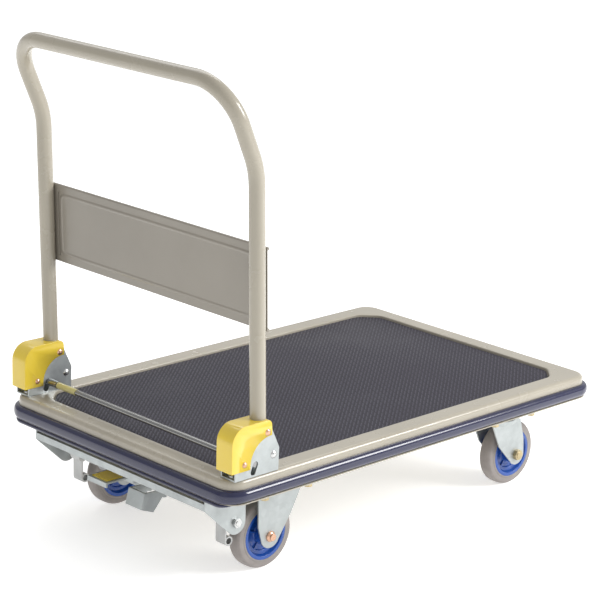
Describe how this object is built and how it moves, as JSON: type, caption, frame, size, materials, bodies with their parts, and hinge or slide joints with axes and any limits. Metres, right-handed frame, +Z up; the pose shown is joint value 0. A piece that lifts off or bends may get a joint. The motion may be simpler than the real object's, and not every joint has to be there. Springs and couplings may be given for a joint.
{
  "type": "folding platform cart",
  "caption": "Folding platform cart: steel deck with rubber mat and edge bumper, fold-down tube handle, rigid and swivel casters, and a foot brake.",
  "frame": {"origin": "bottom centre of the bounding box, on the floor under the middle of the cart", "axes": "+X along the deck from the handle end to the far end, +Y to the left of a person who pushes the handle, +Z up"},
  "size_m": [0.9268, 0.608, 0.8809],
  "materials": {
    "cream_paint": "gloss powder coat",
    "panel_paint": "gloss powder coat",
    "frame_paint": "satin paint",
    "mat_rubber": "fine ribbed",
    "navy_bumper": "gloss vinyl",
    "yellow_plastic": "gloss moulding",
    "zinc_plate": "zinc plated",
    "bright_zinc": "bright zinc",
    "yellow_zinc": "yellow zinc",
    "copper_rivet": "copper plated",
    "raw_steel": "dull plated",
    "bronze": "sintered",
    "spring_steel": "oiled",
    "grey_tyre": "matt elastic rubber",
    "blue_hub": "satin moulding"
  },
  "bodies": {
    "deck": {"deck_pan": "cream_paint", "deck_mat": "mat_rubber", "edge_bumper": "navy_bumper", "cross_member_handle_end": "frame_paint", "cross_member_far_end": "frame_paint", "deck_stiffeners": "frame_paint", "handle_bracket_left": "zinc_plate", "handle_bracket_right": "zinc_plate", "bracket_cover_left": "yellow_plastic", "bracket_cover_right": "yellow_plastic", "cover_rivets": "copper_rivet", "bracket_bolts": "bright_zinc", "bracket_nuts": "bright_zinc", "pivot_pins": "bright_zinc", "rod_springs": "spring_steel", "brake_bracket_left": "zinc_plate", "brake_bracket_right": "zinc_plate", "brake_cross_channel": "zinc_plate", "rigid_fork_left": "zinc_plate", "rigid_fork_right": "zinc_plate", "rigid_axles": "copper_rivet", "swivel_plate_left": "zinc_plate", "swivel_plate_right": "zinc_plate", "kingpins": "bright_zinc", "caster_bolts": "yellow_zinc", "caster_nuts": "yellow_zinc"},
    "handle": {"handle_tube": "cream_paint", "handle_panel": "panel_paint", "handle_feet": "raw_steel", "pivot_bushes": "bronze"},
    "release_bar": {"release_rod": "bright_zinc", "rod_sleeve": "yellow_plastic"},
    "brake_lever": {"brake_shaft": "bright_zinc", "brake_shoe_left": "raw_steel", "brake_shoe_right": "raw_steel", "brake_pedal": "zinc_plate", "release_pedal": "zinc_plate", "pedal_pad": "yellow_plastic", "shaft_nuts": "bright_zinc", "brake_spring": "spring_steel"},
    "rigid_wheel_left": {"tyre_rigid_left": "grey_tyre", "hub_rigid_left": "blue_hub", "bearing_rigid_left": "raw_steel"},
    "rigid_wheel_right": {"tyre_rigid_right": "grey_tyre", "hub_rigid_right": "blue_hub", "bearing_rigid_right": "raw_steel"},
    "swivel_left": {"swivel_fork_left": "zinc_plate", "swivel_balls_left": "bright_zinc", "swivel_axle_left": "yellow_zinc"},
    "swivel_right": {"swivel_fork_right": "zinc_plate", "swivel_balls_right": "bright_zinc", "swivel_axle_right": "yellow_zinc"},
    "swivel_wheel_left": {"tyre_swivel_left": "grey_tyre", "hub_swivel_left": "blue_hub", "bearing_swivel_left": "raw_steel"},
    "swivel_wheel_right": {"tyre_swivel_right": "grey_tyre", "hub_swivel_right": "blue_hub", "bearing_swivel_right": "raw_steel"}
  },
  "joints": [
    {"name": "handle_fold", "type": "hinge", "parent": "deck", "child": "handle", "pos_m": [-0.35259, 0, 0.246], "axis": [0, 1, 0], "range_deg": [0, 91.5]},
    {"name": "rod_press", "type": "slide", "parent": "deck", "child": "release_bar", "axis": [-0.3746, 0, -0.9272], "range_m": [0, 0.0128], "stiffness_N_per_m": 1500, "springref_m": -0.01},
    {"name": "brake_turn", "type": "hinge", "parent": "deck", "child": "brake_lever", "pos_m": [-0.37459, 0, 0.112], "axis": [0, -1, 0], "range_deg": [0, 15]},
    {"name": "rigid_wheel_spin_left", "type": "hinge", "parent": "deck", "child": "rigid_wheel_left", "pos_m": [-0.28759, 0.193, 0.062], "axis": [0, 1, 0], "continuous": true},
    {"name": "caster_swivel_left", "type": "hinge", "parent": "deck", "child": "swivel_left", "pos_m": [0.30941, 0.193, 0.14], "axis": [0, 0, 1], "continuous": true},
    {"name": "swivel_wheel_spin_left", "type": "hinge", "parent": "swivel_left", "child": "swivel_wheel_left", "pos_m": [0.34241, 0.193, 0.062], "axis": [0, 1, 0], "continuous": true},
    {"name": "rigid_wheel_spin_right", "type": "hinge", "parent": "deck", "child": "rigid_wheel_right", "pos_m": [-0.28759, -0.193, 0.062], "axis": [0, 1, 0], "continuous": true},
    {"name": "caster_swivel_right", "type": "hinge", "parent": "deck", "child": "swivel_right", "pos_m": [0.30941, -0.193, 0.14], "axis": [0, 0, 1], "continuous": true},
    {"name": "swivel_wheel_spin_right", "type": "hinge", "parent": "swivel_right", "child": "swivel_wheel_right", "pos_m": [0.34241, -0.193, 0.062], "axis": [0, 1, 0], "continuous": true}
  ]
}
